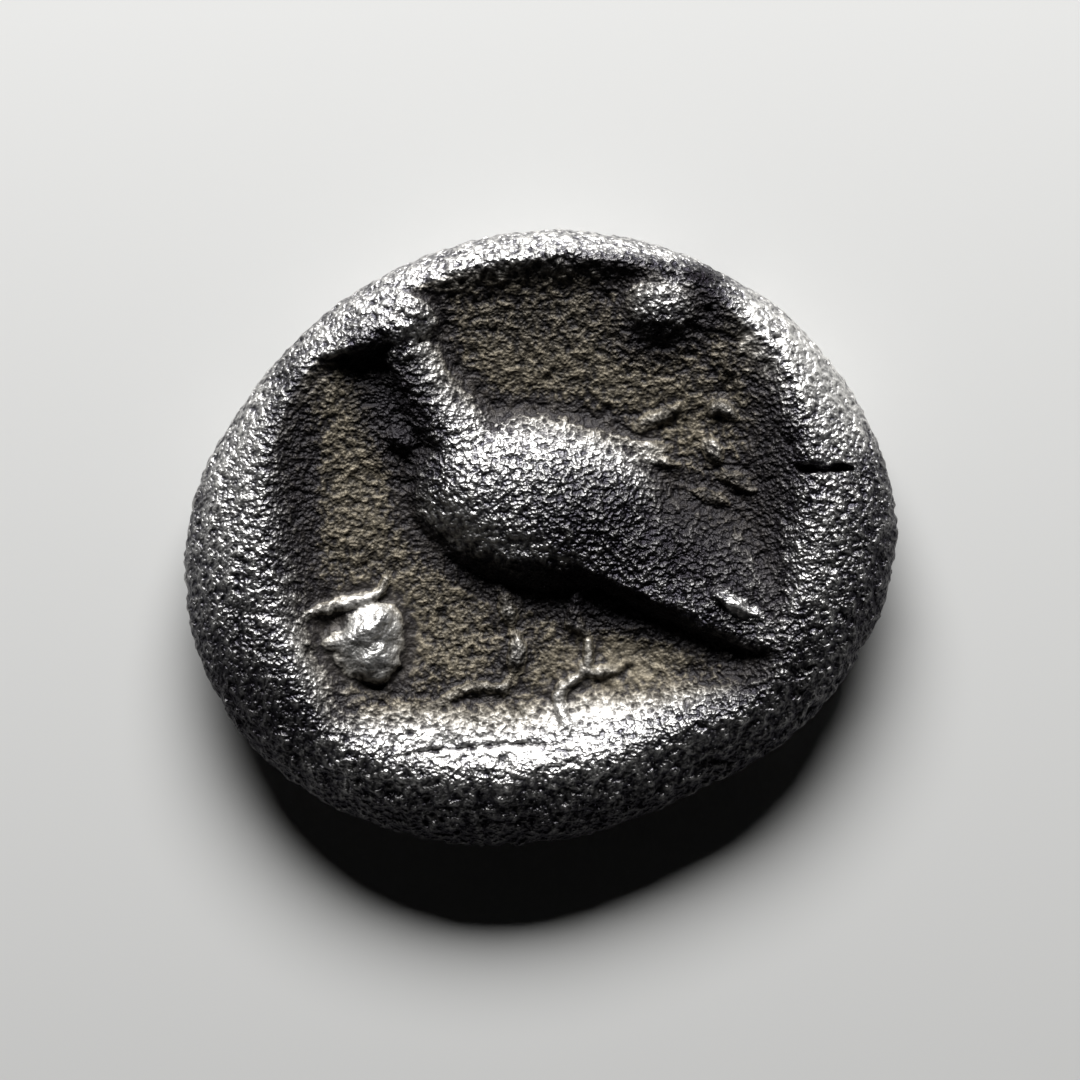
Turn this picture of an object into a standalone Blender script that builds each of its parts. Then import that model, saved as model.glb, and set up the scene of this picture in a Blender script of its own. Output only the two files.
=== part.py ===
"""A tetartemorion, the quarter obol: a small silver coin struck on a hammered, uneven flan.

The coin lies on its worn obverse, with the sunk square of the reverse facing up. A bird stands to the
left in the square, with one pellet above its back and one before its feet.
Everything is in metres, +Z up, with the origin under the middle of the coin.
"""

import math

import bmesh
import bpy
import numpy as np

MM = 0.001

# Flan
FLAN_LENGTH = 6.50 * MM
FLAN_WIDTH = 5.62 * MM
FLAN_THICKNESS = 1.00 * MM
EDGE_HEIGHT = 0.50 * MM
# Width of the rim's rounding, and how full it is across, where 1 is straight and 2 round: a value for
# the sides, and how much larger it is at the top and smaller at the bottom
RIM_ROUNDING = 0.80 * MM
RIM_TOP_ROUNDING = -0.15 * MM
RIM_FULLNESS = 1.60
RIM_TOP_FULLNESS = 0.25
BELLY_ROUNDING = 1.40 * MM
# Distance from the middle to the edge every 30 degrees from +X, as shares of half the length
EDGE_SHARES = (0.999, 0.955, 0.897, 0.866, 0.858, 0.900, 0.996, 1.007, 0.928, 0.856, 0.831, 0.922)

# Sunk square
SQUARE_DEPTH = 0.45 * MM
# The floor is dished: how much it rises in half the flan's width, and where its lowest point lies
SQUARE_DISH = 0.28 * MM
SQUARE_LOWEST = (0.10 * MM, 0.10 * MM)
SQUARE_CORNER_ROUNDING = 0.20 * MM
SQUARE_LIP_ROUNDING = 0.08 * MM
# Each side: direction it faces out, distance of its lip, width of its slope, share of the slope that is a
# hollow foot, where the side bows out most, and the bows of its lip and of its foot
SQUARE_SIDES = (
    (0.0, 2.45 * MM, 0.60 * MM, 0.6, 0.30 * MM, 65.0, 65.0),
    (40.0, 2.88 * MM, 0.55 * MM, 0.6, 0.00 * MM, 0.0, 0.0),
    (90.0, 2.72 * MM, 0.52 * MM, 0.6, -0.35 * MM, 97.0, 97.0),
    (130.0, 2.82 * MM, 0.50 * MM, 0.6, 0.00 * MM, 0.0, 0.0),
    (180.0, 2.54 * MM, 0.52 * MM, 0.6, -0.45 * MM, 100.0, 100.0),
    (270.0, 2.38 * MM, 1.02 * MM, 0.2, -0.80 * MM, 95.0, 35.0),
)

# Bird, with its places and widths as shares of its length and its heights as shares of its relief
BIRD_LENGTH = 3.55 * MM
BIRD_RELIEF = 0.40 * MM
BIRD_PLACE = (-0.095 * MM, 0.390 * MM)
# Rounded masses: place, half length, half width, turn in degrees, height, how far the crest leans
BIRD_MASSES = (
    (0.030, -0.010, 0.345, 0.234, -9.0, 1.00, -0.15),
    (-0.110, 0.020, 0.205, 0.190, -6.0, 0.95, -0.05),
    (0.240, -0.085, 0.215, 0.165, -32.0, 0.64, -0.30),
    (-0.350, 0.452, 0.128, 0.078, -14.0, 0.62, 0.00),
)
# Ridges: place, half width and height at each of their points, and how far the crest leans to the right
BIRD_NECK = (
    (-0.190, 0.135, 0.095, 0.58),
    (-0.240, 0.215, 0.080, 0.36),
    (-0.290, 0.310, 0.070, 0.32),
    (-0.325, 0.400, 0.070, 0.40),
)
BIRD_BEAK = ((-0.400, 0.425, 0.052, 0.60), (-0.500, 0.405, 0.040, 0.52), (-0.590, 0.375, 0.026, 0.40))
BIRD_WATTLE = ((-0.342, 0.145, 0.028, 0.16), (-0.325, 0.133, 0.030, 0.20))
BIRD_PLUME = (
    (0.080, -0.150, 0.120, 0.66),
    (0.200, -0.205, 0.150, 0.62),
    (0.320, -0.258, 0.160, 0.58),
    (0.440, -0.312, 0.150, 0.54),
    (0.550, -0.362, 0.120, 0.46),
    (0.640, -0.402, 0.070, 0.30),
)
NECK_LEAN = -0.20
PLUME_LEAN = 0.72
BIRD_FEATHERS = (
    ((0.22, 0.145, 0.022, 0.14), (0.28, 0.180, 0.022, 0.16), (0.36, 0.210, 0.018, 0.12)),
    (
        (0.28, 0.115, 0.022, 0.20), (0.36, 0.150, 0.022, 0.16),
        (0.44, 0.170, 0.022, 0.16), (0.51, 0.215, 0.022, 0.18),
    ),
    ((0.33, 0.085, 0.020, 0.20), (0.41, 0.120, 0.020, 0.16), (0.49, 0.105, 0.018, 0.14)),
    ((0.40, 0.035, 0.020, 0.18), (0.49, 0.055, 0.018, 0.16), (0.58, 0.018, 0.016, 0.12)),
    ((0.44, -0.240, 0.026, 0.62), (0.52, -0.285, 0.026, 0.60), (0.58, -0.320, 0.022, 0.46)),
)
BIRD_LEGS = (
    (
        (-0.08, -0.22, 0.020, 0.20), (-0.045, -0.33, 0.016, 0.13),
        (-0.025, -0.41, 0.020, 0.17), (-0.07, -0.50, 0.014, 0.11),
    ),
    (
        (0.12, -0.23, 0.020, 0.20), (0.13, -0.31, 0.016, 0.15),
        (0.145, -0.42, 0.018, 0.13), (0.12, -0.47, 0.014, 0.13),
    ),
)
BIRD_TOES = (
    (
        (-0.07, -0.50, 0.014, 0.11), (-0.13, -0.495, 0.012, 0.10),
        (-0.20, -0.515, 0.011, 0.08), (-0.24, -0.54, 0.010, 0.05),
    ),
    (
        (0.12, -0.47, 0.014, 0.13), (0.08, -0.50, 0.015, 0.13),
        (0.06, -0.55, 0.013, 0.11), (0.055, -0.59, 0.010, 0.07),
    ),
)

# How a mass and a ridge fall off across: 0 is a block, 0.5 an ellipse and 1 a parabola
MASS_FALL = 0.95
RIDGE_FALL = 1.00

# Pellets, the first over the back and the second before the feet: place, radius and relief
PELLETS = (
    (1.10 * MM, 2.14 * MM, 0.38 * MM, 0.17 * MM),
    (-1.57 * MM, -0.94 * MM, 0.34 * MM, 0.22 * MM),
)
# Low ridge round part of the lower pellet: place, half width and height at each of its points
PELLET_RIDGE = (
    (-2.20 * MM, -0.97 * MM, 0.04 * MM, 0.03 * MM),
    (-2.18 * MM, -0.81 * MM, 0.05 * MM, 0.05 * MM),
    (-2.08 * MM, -0.68 * MM, 0.06 * MM, 0.06 * MM),
    (-1.87 * MM, -0.65 * MM, 0.05 * MM, 0.06 * MM),
    (-1.66 * MM, -0.59 * MM, 0.05 * MM, 0.06 * MM),
    (-1.47 * MM, -0.54 * MM, 0.04 * MM, 0.05 * MM),
    (-1.39 * MM, -0.43 * MM, 0.03 * MM, 0.03 * MM),
)

# Crack in the rim: its direction from the middle, and how far in from the edge it ends
CRACK_TURN = 11.3
CRACK_INSET = 0.34 * MM
CRACK_LENGTH = 0.50 * MM
CRACK_WIDTH = 0.07 * MM
CRACK_DEPTH = 0.12 * MM

# Worn rosette of the obverse
FIELD_HEIGHT = 0.06 * MM
PETAL_COUNT = 8
PETAL_LENGTH = 1.20 * MM
PETAL_WIDTH = 0.62 * MM
PETAL_RELIEF = 0.12 * MM
BOSS_RADIUS = 0.50 * MM
BOSS_GAP = 0.10 * MM

# Mesh
GRID_CELLS = 190
EDGE_CROWDING = 0.65
FACES_WANTED = 9400

# Silver
SILVER_COLOUR = (0.52, 0.51, 0.48, 1.0)
SILVER_ROUGHNESS = 0.48


def soft_min(a, b, rounding):
    share = np.clip(0.5 + 0.5 * (b - a) / rounding, 0, 1)
    return b + (a - b) * share - rounding * share * (1 - share)


def union(*heights, sharpness=7):
    """Heights joined over each other with a soft valley, 0 where all of them are 0."""
    tallest = np.maximum.reduce(heights)
    scale = np.where(tallest > 0, tallest, 1)
    return tallest * sum((height / scale) ** sharpness for height in heights) ** (1 / sharpness)


def smooth_curve(points, steps):
    """A smooth curve through the rows of points, with this many steps between two of them."""
    rows = np.array(points, float)
    rows = np.vstack([2 * rows[0] - rows[1], rows, 2 * rows[-1] - rows[-2]])
    before, start, end, after = rows[:-3], rows[1:-2], rows[2:-1], rows[3:]
    stretches = []
    for t in np.arange(steps) / steps:
        bend = t * (2 * before - 5 * start + 4 * end - after + t * (3 * (start - end) + after - before))
        stretches.append(start + 0.5 * t * (end - before + bend))
    curve = np.stack(stretches, axis=1).reshape(-1, rows.shape[1])
    return np.vstack([curve, rows[-2]])


def dome(x, y, place, half_length, half_width, turn, height, lean=0.0):
    """Height of a rounded mass on an ellipse, whose crest may lean to the left of its length."""
    cos, sin = math.cos(math.radians(turn)), math.sin(math.radians(turn))
    along = ((x - place[0]) * cos + (y - place[1]) * sin) / half_length
    across = ((y - place[1]) * cos - (x - place[0]) * sin) / half_width
    across = across - lean * np.clip(1 - along**2 - across**2, 0, 1)
    return height * np.clip(1 - along**2 - across**2, 0, 1) ** MASS_FALL


def ridge(x, y, points, lean=0.0, steps=8):
    """Height of a rounded ridge through (x, y, half width, height), wider on one side if it leans."""
    curve = smooth_curve(points, steps)
    tallest = np.zeros_like(x)
    for start, end in zip(curve[:-1], curve[1:]):
        run = end - start
        share = ((x - start[0]) * run[0] + (y - start[1]) * run[1]) / (run[0] ** 2 + run[1] ** 2)
        share = np.clip(share, 0, 1)
        right, up = x - start[0] - share * run[0], y - start[1] - share * run[1]
        width = (start[2] + share * run[2]) * (1 + lean * np.sign(run[0] * up - run[1] * right))
        fall = np.clip(1 - (right**2 + up**2) / width**2, 0, 1) ** RIDGE_FALL
        tallest = np.maximum(tallest, (start[3] + share * run[3]) * fall)
    return tallest


def edge_share(angle):
    """Distance from the middle to the edge at this angle, as a share of half the length."""
    count = len(EDGE_SHARES)
    place = (angle / (2 * math.pi) * count) % count
    first = np.floor(place).astype(int)
    t = place - first
    before, start, end, after = (np.take(EDGE_SHARES, (first + k) % count) for k in (-1, 0, 1, 2))
    bend = t * (2 * before - 5 * start + 4 * end - after + t * (3 * (start - end) + after - before))
    return start + 0.5 * t * (end - before + bend)


def edge_fit():
    """Middle and scale that give the edge its full length and width about the origin."""
    angle = np.linspace(0, 2 * math.pi, 1440, endpoint=False)
    points = edge_share(angle) * np.array([np.cos(angle), np.sin(angle)])
    low, high = points.min(axis=1), points.max(axis=1)
    return (low + high) / 2, np.array([FLAN_LENGTH, FLAN_WIDTH]) / (high - low)


def on_flan(across, up):
    """A unit disc spread over the flan: x, y and the distance in from the edge."""
    middle, scale = edge_fit()
    angle = np.arctan2(up, across)
    share = np.hypot(across, up)
    reach = edge_share(angle)
    x = (reach * share * np.cos(angle) - middle[0]) * scale[0]
    y = (reach * share * np.sin(angle) - middle[1]) * scale[1]
    return x, y, (1 - share) * reach * scale.mean()


def rounded_rise(inset, width, fullness=2.0):
    """0 at the edge and 1 from this width inwards: a quarter of an ellipse, or straighter if less full."""
    short = 1 - np.clip(inset / width, 0, 1)
    return (1 - short**fullness) ** (1 / fullness)


def square_rise(x, y):
    """How far up the slopes round the sunk square a point lies: 0 at their foot and 1 at their lip."""
    highest = np.full_like(x, -1.0)
    for facing, distance, width, hollow, bow_place, lip_bow, foot_bow in SQUARE_SIDES:
        cos, sin = math.cos(math.radians(facing)), math.sin(math.radians(facing))
        out = x * cos + y * sin
        bend = (y * cos - x * sin - bow_place) ** 2
        foot = distance - width - foot_bow * bend
        lip = distance - lip_bow * bend
        share = (out - foot) / np.maximum(lip - foot, width / 4)
        hollowed = np.where(share < hollow, share * np.abs(share) / (2 * hollow), share - hollow / 2)
        highest = -soft_min(-highest, -hollowed / (1 - hollow / 2), SQUARE_CORNER_ROUNDING / width)
    return np.maximum(highest, 0)


def bird(x, y):
    """Height of the bird over the floor of the square."""
    x = (x - BIRD_PLACE[0]) / BIRD_LENGTH
    y = (y - BIRD_PLACE[1]) / BIRD_LENGTH
    masses = [dome(x, y, mass[:2], *mass[2:]) for mass in BIRD_MASSES]
    limbs = [ridge(x, y, BIRD_NECK, NECK_LEAN), ridge(x, y, BIRD_PLUME, PLUME_LEAN)]
    lines = [ridge(x, y, line) for line in BIRD_FEATHERS + BIRD_LEGS + BIRD_TOES + (BIRD_BEAK, BIRD_WATTLE)]
    return BIRD_RELIEF * union(*masses, *limbs, *lines)


def pellets(x, y):
    """Height of the two pellets, and of the low ridge round part of the lower one."""
    mounds = [dome(x, y, (left, low), radius, radius, 0, relief) for left, low, radius, relief in PELLETS]
    return union(*mounds, ridge(x, y, PELLET_RIDGE))


def crack(x, y):
    """Depth of the crack, which opens from a fine end and closes towards the edge."""
    turn = math.radians(CRACK_TURN)
    edge, level, _ = on_flan(math.cos(turn), math.sin(turn))
    start = edge - CRACK_INSET - CRACK_LENGTH
    half = CRACK_WIDTH / 2
    points = []
    for along, wide, deep in ((0.0, 0.4, 0.5), (0.35, 1.0, 1.0), (0.7, 0.9, 1.0), (1.0, 0.4, 0.6)):
        points.append((start + along * CRACK_LENGTH, level, wide * half, deep * CRACK_DEPTH))
    return ridge(x, y, points)


def reverse_height(x, y, inset):
    """Height of the upper face: the rounded flan, cut by the sunk square with its figures."""
    towards_top = y / np.maximum(np.hypot(x, y), MM)
    rounding = RIM_ROUNDING + RIM_TOP_ROUNDING * towards_top
    fullness = RIM_FULLNESS + RIM_TOP_FULLNESS * towards_top
    flan = EDGE_HEIGHT + (FLAN_THICKNESS - EDGE_HEIGHT) * rounded_rise(inset, rounding, fullness)
    aside, above = x - SQUARE_LOWEST[0], y - SQUARE_LOWEST[1]
    floor = FLAN_THICKNESS - SQUARE_DEPTH + SQUARE_DISH * (aside**2 + above**2) / (FLAN_WIDTH / 2) ** 2
    floor = np.minimum(floor, FLAN_THICKNESS)
    walls = (FLAN_THICKNESS - floor) * square_rise(x, y)
    square = floor + union(walls, bird(x, y), pellets(x, y), sharpness=5)
    return soft_min(flan, square, SQUARE_LIP_ROUNDING) - crack(x, y)


def obverse_height(x, y, inset):
    """Height of the underside: a shallow dome with the worn rosette, which ends in a flat cut at 0."""
    field = EDGE_HEIGHT - (EDGE_HEIGHT - FIELD_HEIGHT) * rounded_rise(inset, BELLY_ROUNDING)
    relief = dome(x, y, (0, 0), BOSS_RADIUS, BOSS_RADIUS, 0, PETAL_RELIEF)
    reach = BOSS_RADIUS + BOSS_GAP + PETAL_LENGTH / 2
    for turn in np.arange(PETAL_COUNT) * 360 / PETAL_COUNT:
        place = (reach * math.cos(math.radians(turn)), reach * math.sin(math.radians(turn)))
        petal = dome(x, y, place, PETAL_LENGTH / 2, PETAL_WIDTH / 2, turn, PETAL_RELIEF)
        relief = np.maximum(relief, petal)
    return field - relief


def face_grid(part, height, upwards):
    """Adds one face of the coin: a square grid spread over the flan and raised to its height."""
    grid = bmesh.ops.create_grid(part, x_segments=GRID_CELLS, y_segments=GRID_CELLS, size=1)
    points = np.array([vertex.co for vertex in grid["verts"]])
    across = points[:, 0] * np.sqrt(1 - points[:, 1] ** 2 / 2)
    up = points[:, 1] * np.sqrt(1 - points[:, 0] ** 2 / 2)
    share = np.minimum(np.hypot(across, up), 1)
    crowded = share * (1 - EDGE_CROWDING) + EDGE_CROWDING * np.sin(share * math.pi / 2)
    ratio = crowded / np.maximum(np.hypot(across, up), 1e-9)
    x, y, inset = on_flan(across * ratio, up * ratio)
    on_edge = np.abs(points).max(axis=1) > 1 - 1e-6
    z = np.where(on_edge, EDGE_HEIGHT, height(x, y, inset))
    for vertex, place in zip(grid["verts"], zip(x, y, z)):
        vertex.co = place
    if not upwards:
        faces = {face for vertex in grid["verts"] for face in vertex.link_faces}
        bmesh.ops.reverse_faces(part, faces=list(faces))


def silver():
    material = bpy.data.materials.new("worn silver")
    material.use_nodes = True
    shader = material.node_tree.nodes["Principled BSDF"]
    shader.inputs["Base Color"].default_value = SILVER_COLOUR
    shader.inputs["Roughness"].default_value = SILVER_ROUGHNESS
    shader.inputs["Metallic"].default_value = 1.0
    return material


def thin_out(coin):
    """Leaves the faces where the relief needs them."""
    thinning = coin.modifiers.new("fewer faces", "DECIMATE")
    thinning.ratio = FACES_WANTED / (2 * len(coin.data.polygons))
    bpy.context.view_layer.update()
    thinned = bpy.data.meshes.new_from_object(coin.evaluated_get(bpy.context.evaluated_depsgraph_get()))
    coin.modifiers.remove(thinning)
    coin.data = thinned


def flatten_underside(coin):
    """Cuts off what the petals and the boss have below 0, so that the coin lies on flats."""
    part = bmesh.new()
    part.from_mesh(coin.data)
    everything = part.verts[:] + part.edges[:] + part.faces[:]
    ground = {"plane_co": (0, 0, 0), "plane_no": (0, 0, 1)}
    cut = bmesh.ops.bisect_plane(part, geom=everything, clear_inner=True, **ground)
    rims = [item for item in cut["geom_cut"] if isinstance(item, bmesh.types.BMEdge)]
    bmesh.ops.holes_fill(part, edges=rims)
    bmesh.ops.recalc_face_normals(part, faces=part.faces[:])
    part.to_mesh(coin.data)
    part.free()


def make_coin(collection):
    part = bmesh.new()
    face_grid(part, reverse_height, True)
    face_grid(part, obverse_height, False)
    bmesh.ops.remove_doubles(part, verts=part.verts[:], dist=0.0001 * MM)
    mesh = bpy.data.meshes.new("coin")
    part.to_mesh(mesh)
    part.free()
    coin = bpy.data.objects.new("coin", mesh)
    collection.objects.link(coin)
    thin_out(coin)
    flatten_underside(coin)
    coin.data.name = "coin"
    coin.data.shade_smooth()
    coin.data.set_sharp_from_angle(angle=math.radians(50))
    coin.data.materials.clear()
    coin.data.materials.append(silver())


def main():
    for item in list(bpy.data.objects):
        bpy.data.objects.remove(item)
    collection = bpy.data.collections.new("tetartemorion")
    bpy.context.scene.collection.children.link(collection)
    make_coin(collection)


main()
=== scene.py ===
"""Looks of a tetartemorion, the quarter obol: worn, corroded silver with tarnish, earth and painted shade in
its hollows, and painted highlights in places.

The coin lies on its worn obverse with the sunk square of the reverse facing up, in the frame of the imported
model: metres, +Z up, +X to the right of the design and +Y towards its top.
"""

import math

import bmesh
import bpy
import numpy as np
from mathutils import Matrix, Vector


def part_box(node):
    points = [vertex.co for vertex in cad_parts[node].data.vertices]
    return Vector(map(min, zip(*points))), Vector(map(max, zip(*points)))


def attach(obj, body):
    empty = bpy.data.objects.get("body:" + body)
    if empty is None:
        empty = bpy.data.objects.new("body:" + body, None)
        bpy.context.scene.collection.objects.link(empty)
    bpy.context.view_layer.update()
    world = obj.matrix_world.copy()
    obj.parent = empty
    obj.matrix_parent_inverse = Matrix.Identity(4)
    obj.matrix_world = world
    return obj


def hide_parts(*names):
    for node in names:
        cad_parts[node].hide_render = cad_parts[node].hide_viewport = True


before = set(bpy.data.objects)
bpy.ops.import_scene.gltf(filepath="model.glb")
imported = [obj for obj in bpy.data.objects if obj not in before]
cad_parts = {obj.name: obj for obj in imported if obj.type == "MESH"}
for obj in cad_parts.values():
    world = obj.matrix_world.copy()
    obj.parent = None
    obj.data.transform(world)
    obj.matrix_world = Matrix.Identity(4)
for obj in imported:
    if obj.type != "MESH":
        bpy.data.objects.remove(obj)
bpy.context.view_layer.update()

MM = 0.001

# Flan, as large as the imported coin
coin_low, coin_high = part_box("coin")
FLAN_LENGTH, FLAN_WIDTH, FLAN_THICKNESS = coin_high - coin_low
EDGE_HEIGHT = 0.50 * MM
# Width of the rim's rounding, and how full it is across, where 1 is straight and 2 round: a value for
# the sides, and how much larger it is at the top and smaller at the bottom
RIM_ROUNDING = 0.80 * MM
RIM_TOP_ROUNDING = -0.15 * MM
RIM_FULLNESS = 1.60
RIM_TOP_FULLNESS = 0.25
BELLY_ROUNDING = 1.40 * MM
# Distance from the middle to the edge every 30 degrees from +X, as shares of half the length
EDGE_SHARES = (0.999, 0.955, 0.897, 0.866, 0.858, 0.900, 0.996, 1.007, 0.928, 0.856, 0.831, 0.922)
# Points along the edge at which its length and width are measured
EDGE_SAMPLES = 1440

# Sunk square
SQUARE_DEPTH = 0.45 * MM
# The floor is dished: how much it rises in half the flan's width, and where its lowest point lies
SQUARE_DISH = 0.28 * MM
SQUARE_LOWEST = (0.10 * MM, 0.10 * MM)
SQUARE_CORNER_ROUNDING = 0.20 * MM
SQUARE_LIP_ROUNDING = 0.08 * MM
# Each side: direction it faces out, distance of its lip, width of its slope, share of the slope that is a
# hollow foot, where the side bows out most, and the bows of its lip and of its foot
SQUARE_SIDES = (
    (0.0, 2.45 * MM, 0.60 * MM, 0.6, 0.30 * MM, 65.0, 65.0),
    (40.0, 2.88 * MM, 0.55 * MM, 0.6, 0.00 * MM, 0.0, 0.0),
    (90.0, 2.72 * MM, 0.52 * MM, 0.6, -0.35 * MM, 97.0, 97.0),
    (130.0, 2.82 * MM, 0.50 * MM, 0.6, 0.00 * MM, 0.0, 0.0),
    (180.0, 2.54 * MM, 0.52 * MM, 0.6, -0.45 * MM, 100.0, 100.0),
    (270.0, 2.38 * MM, 1.02 * MM, 0.2, -0.80 * MM, 95.0, 35.0),
)
GENTLE_SIDE = SQUARE_SIDES[-1:]
# Narrowest that a slope gets where its side bows, as a share of its width
LEAST_SLOPE = 0.25

# Bird, with its places and widths as shares of its length and its heights as shares of its relief
BIRD_LENGTH = 3.55 * MM
BIRD_RELIEF = 0.40 * MM
BIRD_PLACE = (-0.095 * MM, 0.390 * MM)
# Rounded masses: place, half length, half width, turn in degrees, height, how far the crest leans
BIRD_MASSES = (
    (0.030, -0.010, 0.345, 0.234, -9.0, 1.00, -0.15),
    (-0.110, 0.020, 0.205, 0.190, -6.0, 0.95, -0.05),
    (0.240, -0.085, 0.215, 0.165, -32.0, 0.64, -0.30),
    (-0.360, 0.455, 0.140, 0.092, -14.0, 0.72, 0.00),
    (-0.470, 0.448, 0.115, 0.075, 38.0, 0.62, 0.00),
)
# Ridges: place, half width and height at each of their points, and how far the crest leans to the right
BIRD_NECK = (
    (-0.190, 0.135, 0.105, 0.60),
    (-0.245, 0.215, 0.095, 0.44),
    (-0.298, 0.310, 0.085, 0.40),
    (-0.330, 0.400, 0.080, 0.48),
)
BIRD_BEAK = ((-0.410, 0.420, 0.062, 0.66), (-0.500, 0.400, 0.055, 0.58), (-0.590, 0.370, 0.040, 0.46))
BIRD_WATTLE = ((-0.342, 0.145, 0.028, 0.24), (-0.325, 0.133, 0.030, 0.28))
BIRD_PLUME = (
    (0.080, -0.150, 0.120, 0.66),
    (0.200, -0.205, 0.150, 0.62),
    (0.320, -0.258, 0.160, 0.58),
    (0.440, -0.312, 0.150, 0.54),
    (0.550, -0.362, 0.120, 0.46),
    (0.640, -0.402, 0.070, 0.30),
)
NECK_LEAN = -0.20
PLUME_LEAN = 0.72
BIRD_FEATHERS = (
    (
        (0.27, 0.175, 0.018, 0.06), (0.31, 0.192, 0.024, 0.14),
        (0.36, 0.212, 0.022, 0.12), (0.38, 0.225, 0.016, 0.05),
    ),
    ((0.23, 0.142, 0.022, 0.16), (0.28, 0.120, 0.026, 0.18), (0.35, 0.118, 0.020, 0.08)),
    ((0.46, 0.215, 0.018, 0.08), (0.49, 0.224, 0.026, 0.18), (0.52, 0.205, 0.020, 0.13)),
    ((0.45, 0.135, 0.020, 0.08), (0.468, 0.115, 0.028, 0.18), (0.480, 0.090, 0.018, 0.08)),
    ((0.26, 0.098, 0.020, 0.18), (0.32, 0.090, 0.024, 0.17), (0.37, 0.075, 0.018, 0.08)),
    ((0.49, 0.055, 0.018, 0.08), (0.54, 0.035, 0.024, 0.15), (0.58, 0.012, 0.018, 0.08)),
    ((0.41, 0.005, 0.020, 0.10), (0.46, -0.005, 0.024, 0.14), (0.50, -0.020, 0.018, 0.08)),
    ((0.47, -0.255, 0.028, 0.62), (0.52, -0.280, 0.034, 0.76), (0.57, -0.305, 0.026, 0.60)),
    ((0.46, -0.290, 0.024, 0.60), (0.44, -0.330, 0.024, 0.56)),
)
BIRD_LEGS = (
    ((-0.075, -0.240, 0.018, 0.12), (-0.055, -0.300, 0.026, 0.20), (-0.045, -0.335, 0.014, 0.08)),
    (
        (-0.040, -0.355, 0.016, 0.08), (-0.033, -0.385, 0.024, 0.18),
        (-0.035, -0.425, 0.028, 0.21), (-0.042, -0.460, 0.016, 0.08),
    ),
    ((-0.050, -0.475, 0.018, 0.08), (-0.068, -0.495, 0.024, 0.14)),
    ((0.125, -0.250, 0.014, 0.12), (0.110, -0.322, 0.026, 0.22), (0.138, -0.350, 0.022, 0.16)),
    ((0.146, -0.370, 0.016, 0.10), (0.150, -0.415, 0.020, 0.14), (0.130, -0.462, 0.016, 0.10)),
)
BIRD_TOES = (
    (
        (-0.085, -0.495, 0.018, 0.11), (-0.125, -0.490, 0.020, 0.14), (-0.170, -0.497, 0.018, 0.11),
        (-0.205, -0.517, 0.016, 0.09), (-0.250, -0.540, 0.014, 0.05),
    ),
    (
        (0.115, -0.470, 0.016, 0.12), (0.078, -0.500, 0.022, 0.17), (0.076, -0.535, 0.020, 0.15),
        (0.088, -0.568, 0.018, 0.12), (0.105, -0.590, 0.014, 0.07),
    ),
    ((0.150, -0.455, 0.016, 0.08), (0.190, -0.450, 0.020, 0.11), (0.225, -0.445, 0.016, 0.06)),
)

# How a mass and a ridge fall off across: 0 is a block, 0.5 an ellipse and 1 a parabola
MASS_FALL = 0.95
RIDGE_FALL = 1.00
# How sharp the valley is where forms meet: within the bird, at the foot of the design and within a pellet
BIRD_VALLEY = 7
FOOT_VALLEY = 5
PELLET_VALLEY = 3
# Steps between two points of a ridge
RIDGE_STEPS = 8

# Pellets over the back and before the feet, the first on a low swell and the second in lobes:
# place, radius and relief
PELLETS = (
    (1.10 * MM, 2.12 * MM, 0.38 * MM, 0.18 * MM),
    (1.12 * MM, 2.10 * MM, 0.60 * MM, 0.05 * MM),
    (-1.58 * MM, -0.95 * MM, 0.38 * MM, 0.14 * MM),
    (-1.50 * MM, -0.82 * MM, 0.28 * MM, 0.16 * MM),
    (-1.49 * MM, -1.10 * MM, 0.24 * MM, 0.17 * MM),
)
# Low ridges round and across the lower pellet: place, half width and height at each of their points
PELLET_RIDGES = (
    (
        (-2.22 * MM, -1.02 * MM, 0.03 * MM, 0.03 * MM),
        (-2.18 * MM, -0.81 * MM, 0.05 * MM, 0.05 * MM),
        (-2.08 * MM, -0.68 * MM, 0.07 * MM, 0.08 * MM),
        (-1.87 * MM, -0.62 * MM, 0.07 * MM, 0.07 * MM),
        (-1.68 * MM, -0.58 * MM, 0.09 * MM, 0.09 * MM),
        (-1.47 * MM, -0.51 * MM, 0.06 * MM, 0.07 * MM),
        (-1.40 * MM, -0.36 * MM, 0.04 * MM, 0.04 * MM),
    ),
    (
        (-2.00 * MM, -0.97 * MM, 0.07 * MM, 0.04 * MM),
        (-1.77 * MM, -0.93 * MM, 0.11 * MM, 0.11 * MM),
        (-1.60 * MM, -0.88 * MM, 0.14 * MM, 0.18 * MM),
        (-1.45 * MM, -0.74 * MM, 0.12 * MM, 0.18 * MM),
    ),
)
# Hollow beside the lobes: place, radius and depth
PELLET_HOLLOW = (-1.82 * MM, -0.76 * MM, 0.11 * MM, 0.04 * MM)

# Fine step pressed across the bottom slope: place, half width and depth at each of its points
SLOPE_STEP = (
    (-1.40 * MM, -2.00 * MM, 0.02 * MM, 0.010 * MM),
    (-1.10 * MM, -1.94 * MM, 0.03 * MM, 0.030 * MM),
    (-0.64 * MM, -1.90 * MM, 0.03 * MM, 0.025 * MM),
    (-0.12 * MM, -1.87 * MM, 0.03 * MM, 0.030 * MM),
    (0.20 * MM, -1.88 * MM, 0.02 * MM, 0.010 * MM),
)

# Crack in the rim: its direction from the middle, and how far in from the edge it ends
CRACK_TURN = 11.3
CRACK_INSET = 0.34 * MM
CRACK_LENGTH = 0.50 * MM
CRACK_WIDTH = 0.12 * MM
CRACK_DEPTH = 0.14 * MM
# Along it, shares of its length, and its bend, width and depth there as shares of their greatest
CRACK_SHAPE = (
    (0.0, 0.1, 0.6, 0.5),
    (0.2, 0.0, 1.0, 1.0),
    (0.5, -0.1, 0.6, 0.8),
    (0.8, 0.1, 0.8, 1.0),
    (1.0, 0.0, 0.4, 0.5),
)

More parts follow.
